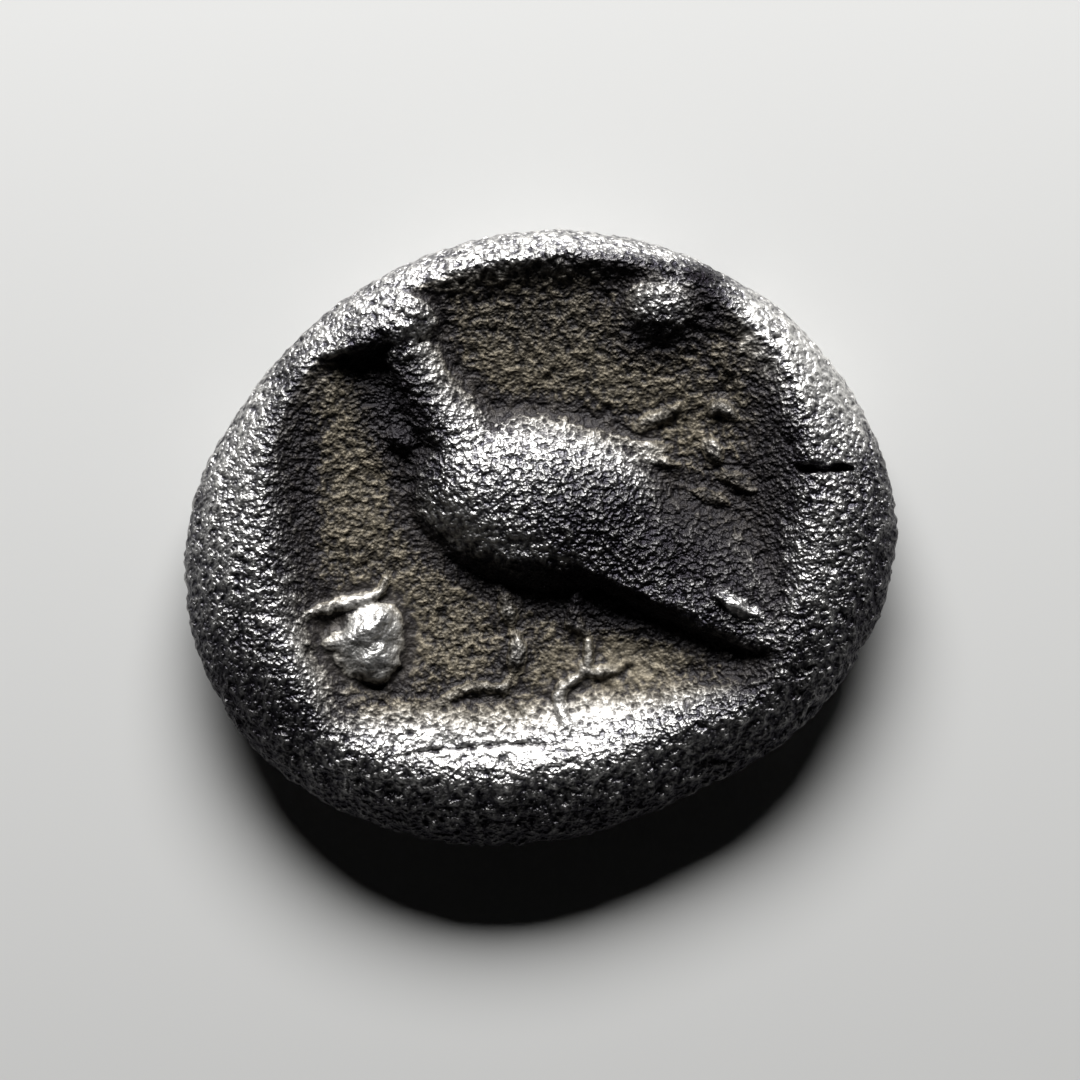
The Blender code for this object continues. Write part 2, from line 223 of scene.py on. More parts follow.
# Worn rosette of the obverse
FIELD_HEIGHT = 0.06 * MM
PETAL_COUNT = 8
PETAL_LENGTH = 1.20 * MM
PETAL_WIDTH = 0.62 * MM
PETAL_RELIEF = 0.12 * MM
BOSS_RADIUS = 0.50 * MM
BOSS_GAP = 0.10 * MM

# Patches of patina, rubbing and painted light, darker than elsewhere where the strength is above 0 and
# brighter below 0, the painted shade and painted highlights marked: place, half length, half width, turn in
# degrees and strength
PATINA_AND_PAINTED_LIGHT = (
    (1.25 * MM, -0.40 * MM, 1.70 * MM, 0.85 * MM, -35.0, 0.75),
    (0.35 * MM, 0.15 * MM, 1.30 * MM, 0.65 * MM, -15.0, 0.45),
    (1.70 * MM, 0.60 * MM, 0.70 * MM, 1.60 * MM, 0.0, 0.50),
    # Painted shadow under the belly
    (0.25 * MM, -0.52 * MM, 1.40 * MM, 0.30 * MM, -17.0, 1.20),
    # Painted shade on the right slope of the square
    (2.20 * MM, 0.90 * MM, 0.34 * MM, 1.60 * MM, 3.0, 0.85),
    # Painted shade under the head and beside the neck
    (-1.30 * MM, 1.15 * MM, 1.00 * MM, 0.44 * MM, -67.0, 1.40),
    # Painted shade on the left slope of the square
    (-2.26 * MM, 0.50 * MM, 0.32 * MM, 1.40 * MM, 0.0, 0.95),
    (0.20 * MM, 2.10 * MM, 1.60 * MM, 0.45 * MM, 0.0, 0.40),
    # Painted highlight on the plume's ridge
    (1.79 * MM, -0.62 * MM, 0.24 * MM, 0.12 * MM, -25.0, -1.60),
    (0.60 * MM, -1.25 * MM, 1.00 * MM, 0.45 * MM, 15.0, -0.70),
    # Painted shadow below the upper pellet
    (1.04 * MM, 1.80 * MM, 0.50 * MM, 0.28 * MM, 10.0, 1.00),
    (3.05 * MM, -0.30 * MM, 0.45 * MM, 1.60 * MM, 0.0, 0.38),
    (-2.60 * MM, -1.40 * MM, 0.55 * MM, 1.00 * MM, 35.0, 0.38),
    (1.45 * MM, 1.00 * MM, 0.75 * MM, 0.45 * MM, 0.0, -0.60),
    (1.56 * MM, 2.16 * MM, 0.32 * MM, 0.42 * MM, 35.0, 1.10),
    # Painted shade on the top slope of the square
    (0.80 * MM, 2.46 * MM, 1.00 * MM, 0.15 * MM, -5.0, 1.00),
    (1.10 * MM, 2.22 * MM, 0.34 * MM, 0.28 * MM, 0.0, -0.25),
    # Rubbed bright, and a painted highlight, on the upper right rim, which faces the light
    (2.40 * MM, 1.75 * MM, 0.60 * MM, 1.20 * MM, 35.0, -1.10),
    # Rubbed bright, and a painted highlight, on the left rim
    (-2.70 * MM, 0.70 * MM, 0.50 * MM, 1.20 * MM, -10.0, -0.40),
    # Rubbed bright, and a painted highlight, on the lower pellet
    (-1.55 * MM, -0.90 * MM, 0.60 * MM, 0.60 * MM, 0.0, -1.40),
    (-0.30 * MM, -1.90 * MM, 2.00 * MM, 0.55 * MM, 0.0, -0.50),
)
# Painted shade and highlight of the rim, darker towards the bottom and a little brighter at the top: how far
# in from the edge it reaches, how it fades, where 1 is straight and less keeps it strong for longer, and its
# strengths at the top and at the bottom
RIM_PATINA_AND_LIGHT_REACH = 0.80 * MM
RIM_PATINA_AND_LIGHT_FADE = 0.5
RIM_PAINTED_HIGHLIGHT_TOP = -0.10
RIM_PAINTED_SHADE_BOTTOM = 1.10

# How soon a raised form is rubbed bare going up it: 1 is in step with its height, and less is sooner
RAISED_WEAR = 0.6
# How much sooner than at its lip the gentle slope is bare, and on the steep ones where it starts, as a share
# of the way up, and over what share it grows
GENTLE_SLOPE_WEAR = 1.5
STEEP_WEAR_START = 0.6
STEEP_WEAR_SPAN = 0.3
# How worn the field of the obverse is, where 1 is wholly bare silver
OBVERSE_WEAR = 0.4
# How far below the flan's own surface its lip is still rubbed bright
RUBBED_LIP = 0.06 * MM

# Mesh: cells across each face, and how much they crowd towards the edge
REVERSE_CELLS = 280
OBVERSE_CELLS = REVERSE_CELLS // 2
EDGE_CROWDING = 0.45
# Points nearer than this become one where the faces join, and how near to 1 counts as on the edge
SEAM_GAP = 0.0001 * MM
EDGE_TOLERANCE = 1e-6
# Keeps a division off 0
TINY = 1e-9
# Charts of the two faces: middle, and length of the coin in them. No material reads them.
CHART_MAP = "OFBake"
REVERSE_CHART = (0.50, 0.66, 0.74)
OBVERSE_CHART = (0.50, 0.17, 0.36)
# Reach, in cells, of the grooves where tarnish gathers and painted shade is laid, and how deep a groove is
# wholly dark
GROOVE_REACHES = (6, 18)
GROOVE_DEPTH = 0.035 * MM
# Distance in from the edge over which the grooves fade out
EDGE_WITHOUT_GROOVES = 0.20 * MM

# What each point of the surface carries for the material
SURFACE_NOTES = ("wear", "hollow", "painted_light_and_patina")

# Corroded skin
SKIN = {
    "Swell Size": 0.45 * MM,
    "Swell Depth": 0.030 * MM,
    "Grain Size": 0.085 * MM,
    "Grain Depth": 0.030 * MM,
    "Pit Size": 0.16 * MM,
    "Pit Depth": 0.020 * MM,
    "Seed": 4.0,
}
# How much later than the swells' seed those of the grain and of the pits are
GRAIN_SEED = 7
PIT_SEED = 13
# How far below the middle of its noise a pit starts, and is at its deepest
PIT_START = 0.10
PIT_FULL = 0.25
# Height up to which the flats that the coin lies on stay as struck
FLATS_KEPT = 0.04 * MM

# Worn silver: colours of the earth and of the bare metal, in the pores and on the grain, their contrast
# partly painted glints and painted shade of the grain, and the dark colour of the tarnish and of painted
# shade
EARTH_IN_PORES = (0.012, 0.010, 0.008, 1)
EARTH_ON_GRAIN = (0.21, 0.180, 0.130, 1)
SILVER_IN_PORES = (0.07, 0.068, 0.082, 1)
SILVER_ON_GRAIN = (0.90, 0.885, 0.855, 1)
TARNISH_AND_SHADE_COLOUR = (0.012, 0.010, 0.013, 1)
EARTH_METALLIC = 0.45
EARTH_ROUGHNESS = 0.60
SILVER_ROUGHNESS = 0.46
# Fine grain and broad patches of the material: size, seed and detail
FINE_GRAIN = (0.050 * MM, 2.0, 1.5)
PATCHES = (0.7 * MM, 5.0, 3.0)
# Peaks of the grain: shares that the skin's grain, the fine grain and the patina and painted light have in
# them, and their range
PEAK_GRAIN = 0.4
PEAK_FINE = 1.2
PEAK_PATINA_AND_LIGHT = 0.20
PEAK_RANGE = (-0.35, 0.45)
# Bare silver: shares that patches and peaks have in it beside the wear, and its range
WORN_PATCHES = 0.3
WORN_PEAKS = 0.2
WORN_RANGE = (0.15, 0.70)
# Dark grooves, tarnish and painted shade in the hollows: shares that the patina and painted light, peaks and
# patches have in them beside the hollows, and their range
GROOVE_PATINA_AND_LIGHT = 0.25
GROOVE_PEAKS = 0.8
GROOVE_PATCHES = 0.3
GROOVE_RANGE = (0.10, 0.90)
# How much of the dark colour of tarnish and painted shade the darkest grooves and the strongest patina and
# painted shade take on
GROOVE_DARKNESS = 0.85
PATINA_AND_SHADE_DARKNESS = 0.75
# Finest relief: its depth, its height, how much the patina and painted shade add to that, and the most that
# rubbing and painted highlights take off
FINE_DEPTH = 0.035 * MM
FINE_RELIEF = 1.5
PATINA_AND_LIGHT_RELIEF = 1.2
RUBBED_AND_LIT_RELIEF = -0.8

# Floor, lights and camera
PHOTO_WIDTH = 1080
PIXELS_PER_MM = 110.3
COIN_MIDDLE_IN_PHOTO = (540.5, 538.0)
CAMERA_LENS = 150.0
CAMERA_SENSOR = 36.0
CAMERA_NEAR = 1.0 * MM
# Height at which the coin has the photograph's scale
SCALE_HEIGHT = 0.75 * MM
LIGHT_AZIMUTH = 92.0
LIGHT_ELEVATION = 30.0
LIGHT_DISTANCE = 60.0 * MM
LIGHT_LENGTH = 60.0 * MM
LIGHT_WIDTH = 18.0 * MM
LIGHT_POWER = 0.086
# Strength of the sky, and how high and how low a direction is, from 1 to -1, where it is wholly overhead
# and wholly below
SKY_OVERHEAD = 0.004
SKY_AT_HORIZON = 0.03
SKY_BELOW = 0.50
OVERHEAD_FROM = 0.6
BELOW_FROM = -0.10
FLOOR_SIZE = 400.0 * MM
FLOOR_COLOUR = (0.62, 0.62, 0.61, 1)
FLOOR_ROUGHNESS = 0.9


def soft_min(a, b, rounding):
    share = np.clip(0.5 + 0.5 * (b - a) / rounding, 0, 1)
    return b + (a - b) * share - rounding * share * (1 - share)


def union(*heights, sharpness=BIRD_VALLEY):
    """Heights joined over each other with a soft valley, 0 where all of them are 0."""
    tallest = np.maximum.reduce(heights)
    scale = np.where(tallest > 0, tallest, 1)
    return tallest * sum((height / scale) ** sharpness for height in heights) ** (1 / sharpness)


def on_curve(before, start, end, after, t):
    """Where a smooth curve through four points is, at share t of the way from the second to the third."""
    bend = t * (2 * before - 5 * start + 4 * end - after + t * (3 * (start - end) + after - before))
    return start + 0.5 * t * (end - before + bend)


def smooth_curve(points, steps):
    """A smooth curve through the rows of points, with this many steps between two of them."""
    rows = np.array(points, float)
    rows = np.vstack([2 * rows[0] - rows[1], rows, 2 * rows[-1] - rows[-2]])
    before, start, end, after = rows[:-3], rows[1:-2], rows[2:-1], rows[3:]
    stretches = [on_curve(before, start, end, after, t) for t in np.arange(steps) / steps]
    curve = np.stack(stretches, axis=1).reshape(-1, rows.shape[1])
    return np.vstack([curve, rows[-2]])


def dome(x, y, place, half_length, half_width, turn, height, lean=0.0):
    """Height of a rounded mass on an ellipse, whose crest may lean to the left of its length."""
    cos, sin = math.cos(math.radians(turn)), math.sin(math.radians(turn))
    along = ((x - place[0]) * cos + (y - place[1]) * sin) / half_length
    across = ((y - place[1]) * cos - (x - place[0]) * sin) / half_width
    across = across - lean * np.clip(1 - along**2 - across**2, 0, 1)
    return height * np.clip(1 - along**2 - across**2, 0, 1) ** MASS_FALL


def ridge(x, y, points, lean=0.0):
    """Height of a rounded ridge through (x, y, half width, height), wider on one side if it leans."""
    curve = smooth_curve(points, RIDGE_STEPS)
    tallest = np.zeros_like(x)
    for start, end in zip(curve[:-1], curve[1:]):
        run = end - start
        share = ((x - start[0]) * run[0] + (y - start[1]) * run[1]) / (run[0] ** 2 + run[1] ** 2)
        share = np.clip(share, 0, 1)
        right, up = x - start[0] - share * run[0], y - start[1] - share * run[1]
        width = (start[2] + share * run[2]) * (1 + lean * np.sign(run[0] * up - run[1] * right))
        fall = np.clip(1 - (right**2 + up**2) / width**2, 0, 1) ** RIDGE_FALL
        tallest = np.maximum(tallest, (start[3] + share * run[3]) * fall)
    return tallest


def edge_share(angle):
    """Distance from the middle to the edge at this angle, as a share of half the length."""
    count = len(EDGE_SHARES)
    place = (angle / (2 * math.pi) * count) % count
    first = np.floor(place).astype(int)
    around = (np.take(EDGE_SHARES, (first + k) % count) for k in (-1, 0, 1, 2))
    return on_curve(*around, place - first)


def edge_fit():
    """Middle and scale that give the edge its full length and width about the origin."""
    angle = np.linspace(0, 2 * math.pi, EDGE_SAMPLES, endpoint=False)
    points = edge_share(angle) * np.array([np.cos(angle), np.sin(angle)])
    low, high = points.min(axis=1), points.max(axis=1)
    return (low + high) / 2, np.array([FLAN_LENGTH, FLAN_WIDTH]) / (high - low)


def on_flan(across, up):
    """A unit disc spread over the flan: x, y and the distance in from the edge."""
    middle, scale = edge_fit()
    angle = np.arctan2(up, across)
    share = np.hypot(across, up)
    reach = edge_share(angle)
    x = (reach * share * np.cos(angle) - middle[0]) * scale[0]
    y = (reach * share * np.sin(angle) - middle[1]) * scale[1]
    return x, y, (1 - share) * reach * scale.mean()


def rounded_rise(inset, width, fullness=2.0):
    """0 at the edge and 1 from this width inwards: a quarter of an ellipse, or straighter if less full."""
    short = 1 - np.clip(inset / width, 0, 1)
    return (1 - short**fullness) ** (1 / fullness)


def square_rise(x, y, sides=SQUARE_SIDES):
    """How far up the slopes round the sunk square a point lies: 0 at their foot and 1 at their lip."""
    # Starts well below the foot of every slope
    highest = np.full_like(x, -1.0)
    for facing, distance, width, hollow, bow_place, lip_bow, foot_bow in sides:
        cos, sin = math.cos(math.radians(facing)), math.sin(math.radians(facing))
        out = x * cos + y * sin
        bend = (y * cos - x * sin - bow_place) ** 2
        foot = distance - width - foot_bow * bend
        lip = distance - lip_bow * bend
        share = (out - foot) / np.maximum(lip - foot, width * LEAST_SLOPE)
        hollowed = np.where(share < hollow, share * np.abs(share) / (2 * hollow), share - hollow / 2)
        highest = -soft_min(-highest, -hollowed / (1 - hollow / 2), SQUARE_CORNER_ROUNDING / width)
    return np.maximum(highest, 0)


def from_bird(x, y):
    """Distances from the bird's place, as shares of its length."""
    return (x - BIRD_PLACE[0]) / BIRD_LENGTH, (y - BIRD_PLACE[1]) / BIRD_LENGTH


def bird(x, y):
    """Height of the bird over the floor of the square."""
    x, y = from_bird(x, y)
    masses = [dome(x, y, mass[:2], *mass[2:]) for mass in BIRD_MASSES]
    limbs = [ridge(x, y, BIRD_NECK, NECK_LEAN), ridge(x, y, BIRD_PLUME, PLUME_LEAN)]
    lines = [ridge(x, y, line) for line in BIRD_FEATHERS + BIRD_LEGS + (BIRD_BEAK, BIRD_WATTLE)]
    return BIRD_RELIEF * union(*masses, *limbs, *lines)


def toes(x, y):
    """Height of the bird's toes over whatever lies under them, the floor or the bottom slope."""
    x, y = from_bird(x, y)
    return BIRD_RELIEF * union(*(ridge(x, y, line) for line in BIRD_TOES))


def pellets(x, y):
    """Height of the two pellets, and of the low ridges round and across the lower one."""
    mounds = [dome(x, y, (left, low), radius, radius, 0, relief) for left, low, radius, relief in PELLETS]
    left, low, radius, depth = PELLET_HOLLOW
    hollow = dome(x, y, (left, low), radius, radius, 0, depth)
    return union(*mounds, *(ridge(x, y, line) for line in PELLET_RIDGES), sharpness=PELLET_VALLEY) - hollow


def crack(x, y):
    """Depth of the crack, which opens from a fine end and closes towards the edge."""
    turn = math.radians(CRACK_TURN)
    edge, level, _ = on_flan(math.cos(turn), math.sin(turn))
    start = edge - CRACK_INSET - CRACK_LENGTH
    half = CRACK_WIDTH / 2
    points = []
    for along, bend, wide, deep in CRACK_SHAPE:
        place = (start + along * CRACK_LENGTH, level + bend * CRACK_WIDTH)
        points.append((*place, wide * half, deep * CRACK_DEPTH))
    return ridge(x, y, points)


def towards_top(x, y):
    """1 on the way to the top of the design and -1 to its bottom, weaker within 1 mm of the middle."""
    return y / np.maximum(np.hypot(x, y), MM)


def painted_light_and_patina(x, y, inset):
    """How much darker than the rest the reverse is at each point, from patina and painted shade, and below 0
    how much brighter, from rubbing and painted highlights.
    """
    # Painted shade: the rim darker towards the bottom, which faces away from the light, and a faint painted
    # highlight at the top
    rim = RIM_PAINTED_SHADE_BOTTOM + (RIM_PAINTED_HIGHLIGHT_TOP - RIM_PAINTED_SHADE_BOTTOM) * (0.5 + 0.5 * towards_top(x, y))
    spread = rim * np.clip(1 - inset / RIM_PATINA_AND_LIGHT_REACH, 0, 1) ** RIM_PATINA_AND_LIGHT_FADE
    for row in PATINA_AND_PAINTED_LIGHT:
        spread = spread + dome(x, y, row[:2], *row[2:])
    return spread


def reverse_height(x, y, inset):
    """Height of the upper face, the rounded flan cut by the sunk square, and how worn each point is."""
    rounding = RIM_ROUNDING + RIM_TOP_ROUNDING * towards_top(x, y)
    fullness = RIM_FULLNESS + RIM_TOP_FULLNESS * towards_top(x, y)
    flan = EDGE_HEIGHT + (FLAN_THICKNESS - EDGE_HEIGHT) * rounded_rise(inset, rounding, fullness)
    aside, above = x - SQUARE_LOWEST[0], y - SQUARE_LOWEST[1]
    floor = FLAN_THICKNESS - SQUARE_DEPTH + SQUARE_DISH * (aside**2 + above**2) / (FLAN_WIDTH / 2) ** 2
    floor = np.minimum(floor, FLAN_THICKNESS)
    rise = square_rise(x, y)
    design = (bird(x, y), np.maximum(pellets(x, y), 0))
    square = floor + union((FLAN_THICKNESS - floor) * rise, *design, sharpness=FOOT_VALLEY)
    square = square + toes(x, y) + np.minimum(pellets(x, y), 0) - ridge(x, y, SLOPE_STEP)
    height = soft_min(flan, square, SQUARE_LIP_ROUNDING) - crack(x, y)
    raised = (np.clip(height - floor, 0, BIRD_RELIEF) / BIRD_RELIEF) ** RAISED_WEAR
    on_steep = (rise - STEEP_WEAR_START) / STEEP_WEAR_SPAN
    on_slopes = np.maximum(square_rise(x, y, GENTLE_SIDE) * GENTLE_SLOPE_WEAR, on_steep)
    on_flan_skin = 1 - (flan - height) / RUBBED_LIP
    wear = np.maximum.reduce((raised, on_slopes, on_flan_skin))
    return height, np.clip(wear, 0, 1), painted_light_and_patina(x, y, inset)


def obverse_height(x, y, inset):
    """Height of the underside, a shallow dome with a flattened rosette, and how worn each point is."""
    field = EDGE_HEIGHT - (EDGE_HEIGHT - FIELD_HEIGHT) * rounded_rise(inset, BELLY_ROUNDING)
    relief = dome(x, y, (0, 0), BOSS_RADIUS, BOSS_RADIUS, 0, PETAL_RELIEF)
    reach = BOSS_RADIUS + BOSS_GAP + PETAL_LENGTH / 2
    for turn in np.arange(PETAL_COUNT) * 360 / PETAL_COUNT:
        place = (reach * math.cos(math.radians(turn)), reach * math.sin(math.radians(turn)))
        petal = dome(x, y, place, PETAL_LENGTH / 2, PETAL_WIDTH / 2, turn, PETAL_RELIEF)
        relief = np.maximum(relief, petal)
    near_edge = np.clip(1 - inset / RIM_PATINA_AND_LIGHT_REACH, 0, 1)
    wear = OBVERSE_WEAR + (1 - OBVERSE_WEAR) * np.maximum(relief / PETAL_RELIEF, near_edge)
    return np.maximum(field - relief, 0), wear, painted_light_and_patina(x, y, inset) * near_edge


class Value:
    """A socket of a node tree. Python's operators on it add Math nodes to its tree."""

    def __init__(self, tree, socket):
        self.tree = tree
        self.socket = socket

    def math(self, operation, *values):
        return self.tree.add("ShaderNodeMath", {"operation": operation}, dict(enumerate(values)))

    def __add__(self, other):
        return self.math("ADD", self, other)

    __radd__ = __add__

    def __sub__(self, other):
        return self.math("SUBTRACT", self, other)

    def __rsub__(self, other):
        return self.math("SUBTRACT", other, self)

    def __mul__(self, other):
        return self.math("MULTIPLY", self, other)

    __rmul__ = __mul__

    def __truediv__(self, other):
        return self.math("DIVIDE", self, other)

    def __rtruediv__(self, other):
        return self.math("DIVIDE", other, self)

    def at_least(self, other):
        return self.math("MAXIMUM", self, other)

    def between(self, low, high):
        """0 below low and 1 above high, with a smooth step from one to the other."""
        limits = {"Value": self, "From Min": low, "From Max": high}
        return self.tree.add("ShaderNodeMapRange", {"interpolation_type": "SMOOTHSTEP"}, limits)


class Tree:
    """A node tree that is filled in from Python."""

    def __init__(self, tree):
        self.tree = tree

    def add(self, kind, settings=None, values=None, output=0):
        """Adds a node with its settings, then the values or links of its sockets, and gives one output."""
        node = self.tree.nodes.new(kind)
        for name, setting in (settings or {}).items():
            setattr(node, name, setting)
        for name, value in (values or {}).items():
            if isinstance(value, Value):
                self.tree.links.new(value.socket, node.inputs[name])
            else:
                node.inputs[name].default_value = value
        return Value(self, node.outputs[output]) if len(node.outputs) else None

    def noise(self, place, size, seed, detail=2.0, roughness=0.5):
        """Cloudy noise between about 0.3 and 0.7, with lumps of this size."""
        values = {"Vector": place, "W": seed, "Scale": 1 / size, "Detail": detail, "Roughness": roughness}
        return self.add("ShaderNodeTexNoise", {"noise_dimensions": "4D"}, values)

    def note(self, name):
        """What the surface carries under this name."""
        return self.add("ShaderNodeAttribute", {"attribute_name": name}, output="Fac")

    def blend(self, share, first, second):
        """The first colour where the share is 0 and the second where it is 1."""
        values = {0: share, 6: first, 7: second}
        return self.add("ShaderNodeMix", {"data_type": "RGBA"}, values, output=2)


def spread_grid(part, cells, upwards):
    """Adds a square grid on the unit disc, whose edge matches the finest grid: its vertices and faces."""
    grid = bmesh.ops.create_grid(part, x_segments=cells, y_segments=cells, size=1)
    vertices = list(grid["verts"])
    # A dictionary keeps their order, which a set would not, so the mesh comes out the same each time
    faces = list(dict.fromkeys(face for vertex in vertices for face in vertex.link_faces))
    if cells < REVERSE_CELLS:
        for edge in [edge for face in faces for edge in face.edges if edge.is_boundary]:
            vertices.append(bmesh.utils.edge_split(edge, edge.verts[0], 0.5)[1])
    if not upwards:
        bmesh.ops.reverse_faces(part, faces=faces)
    return vertices, faces


def blurred(heights, reach):
    """Heights of a square grid, averaged over this many cells to each side."""
    weights = np.hanning(2 * reach + 3)[1:-1]
    heights = np.pad(heights, reach, mode="edge")
    for axis in (0, 1):
        heights = np.apply_along_axis(np.convolve, axis, heights, weights / weights.sum(), mode="valid")
    return heights


def hollowness(z, cells):
    """How deep each point of a face lies in a groove up to a few tenths of a millimetre wide."""
    grid = z[: (cells + 1) ** 2].reshape(cells + 1, cells + 1)
    hollow = np.zeros_like(z)
    for reach in GROOVE_REACHES:
        hollow[: grid.size] += ((blurred(grid, reach) - grid) / GROOVE_DEPTH).ravel()
    return hollow


def face_of_coin(part, cells, height, upwards):
    """Adds one face of the coin: a grid spread over the flan and raised to its height."""
    vertices, faces = spread_grid(part, cells, upwards)
    points = np.array([vertex.co for vertex in vertices])
    across = points[:, 0] * np.sqrt(1 - points[:, 1] ** 2 / 2)
    up = points[:, 1] * np.sqrt(1 - points[:, 0] ** 2 / 2)
    share = np.minimum(np.hypot(across, up), 1)
    crowded = share * (1 - EDGE_CROWDING) + EDGE_CROWDING * np.sin(share * math.pi / 2)
    ratio = crowded / np.maximum(np.hypot(across, up), TINY)
    x, y, inset = on_flan(across * ratio, up * ratio)
    on_edge = np.abs(points).max(axis=1) > 1 - EDGE_TOLERANCE
    z, wear, dark = height(x, y, inset)
    z = np.where(on_edge, EDGE_HEIGHT, z)
    # Hollows darken the material: tarnish in the grooves, and painted shade along the foot of the raised
    # forms
    hollow = hollowness(z, cells) * (1 if upwards else -1) * np.clip(inset / EDGE_WITHOUT_GROOVES, 0, 1)
    layers = [part.verts.layers.float[name] for name in SURFACE_NOTES]
    for vertex, *place, worn, deep, patina_and_light_note in zip(vertices, x, y, z, wear, hollow, dark):
        vertex.co = place
        for layer, note in zip(layers, (worn, deep, patina_and_light_note)):
            vertex[layer] = note


def lay_out_charts(mesh):
    """Two flat charts, the reverse above the obverse, each as seen along the coin's axis."""
    corners = np.empty(len(mesh.loops), int)
    mesh.loops.foreach_get("vertex_index", corners)
    corners_of_face = np.empty(len(mesh.polygons), int)
    mesh.polygons.foreach_get("loop_total", corners_of_face)
    points = np.empty(len(mesh.vertices) * 3)
    mesh.vertices.foreach_get("co", points)
    shares = points.reshape(-1, 3)[corners, :2] / FLAN_LENGTH
    on_reverse = np.repeat(np.arange(len(mesh.polygons)) < REVERSE_CELLS**2, corners_of_face)
    charts = np.where(
        on_reverse[:, None],
        shares * REVERSE_CHART[2] + REVERSE_CHART[:2],
        shares * OBVERSE_CHART[2] * (-1, 1) + OBVERSE_CHART[:2],
    )
    mesh.uv_layers.new(name=CHART_MAP).data.foreach_set("uv", charts.ravel())


def struck_coin():
    """The coin as it left the dies: both faces, joined along the edge."""
    part = bmesh.new()
    for name in SURFACE_NOTES:
        part.verts.layers.float.new(name)
    face_of_coin(part, REVERSE_CELLS, reverse_height, True)
    face_of_coin(part, OBVERSE_CELLS, obverse_height, False)
    bmesh.ops.remove_doubles(part, verts=part.verts[:], dist=SEAM_GAP)
    mesh = bpy.data.meshes.new("struck coin")
    part.to_mesh(mesh)
    part.free()
    lay_out_charts(mesh)
    mesh.shade_smooth()
    coin = bpy.data.objects.new("worn_coin", mesh)
    bpy.context.scene.collection.objects.link(coin)
    return coin


def corroded_skin(material):
    """Geometry nodes that swell, grain and pit a surface, and note how high the grain stands."""
    group = bpy.data.node_groups.new("corroded skin", "GeometryNodeTree")
    group.interface.new_socket("Geometry", in_out="INPUT", socket_type="NodeSocketGeometry")
    for name, value in SKIN.items():
        socket = group.interface.new_socket(name, in_out="INPUT", socket_type="NodeSocketFloat")
        socket.default_value = value
    group.interface.new_socket("Geometry", in_out="OUTPUT", socket_type="NodeSocketGeometry")
    tree = Tree(group)
    given = group.nodes.new("NodeGroupInput")
    struck, swell_size, swell_depth, grain_size, grain_depth, pit_size, pit_depth, seed = (
        Value(tree, socket) for socket in given.outputs[: 1 + len(SKIN)]
    )
    place = tree.add("GeometryNodeInputPosition")
    normal = tree.add("GeometryNodeInputNormal")
    height = tree.add("ShaderNodeSeparateXYZ", values={0: place}, output="Z")
    swell = (tree.noise(place, swell_size, seed) - 0.5) * swell_depth * 2
    grain = (tree.noise(place, grain_size, seed + GRAIN_SEED, detail=1.0) - 0.5) * 2
    hole = 0.5 - tree.noise(place, pit_size, seed + PIT_SEED, detail=0.0)
    pits = hole.between(PIT_START, PIT_FULL) * pit_depth
    clear_of_flats = height.between(0.0, FLATS_KEPT)
    rise = (swell + grain * grain_depth - pits) * clear_of_flats
    offset = tree.add("ShaderNodeVectorMath", {"operation": "SCALE"}, {0: normal, "Scale": rise})
    moved = tree.add("GeometryNodeSetPosition", values={"Geometry": struck, "Offset": offset})
    noted = tree.add(
        "GeometryNodeStoreNamedAttribute",
        {"data_type": "FLOAT", "domain": "POINT"},
        {"Geometry": moved, "Name": "grain", "Value": grain},
    )
    real = tree.add("GeometryNodeRealizeInstances", values={"Geometry": noted})
    finished = tree.add("GeometryNodeSetMaterial", values={"Geometry": real, "Material": material})
    end = group.nodes.new("NodeGroupOutput")
    group.links.new(finished.socket, end.inputs[0])
    return group


def corrode(coin, material):
    """Runs the corroded skin over the coin and keeps its result as a plain mesh."""
    skin = coin.modifiers.new("corroded skin", "NODES")
    skin.node_group = corroded_skin(material)
    for item in skin.node_group.interface.items_tree:
        if item.in_out == "INPUT" and item.name in SKIN:
            skin[item.identifier] = SKIN[item.name]
    bpy.context.view_layer.update()
    shaped = bpy.data.meshes.new_from_object(coin.evaluated_get(bpy.context.evaluated_depsgraph_get()))
    coin.modifiers.remove(skin)
    coin.data = shaped
    shaped.name = "worn_coin"


def new_material(name):
    material = bpy.data.materials.new(name)
    material.use_nodes = True
    material.node_tree.nodes.clear()
    return material, Tree(material.node_tree)


def finish_material(tree, values):
    surface = tree.add("ShaderNodeBsdfPrincipled", values=values)
    tree.add("ShaderNodeOutputMaterial", values={"Surface": surface})


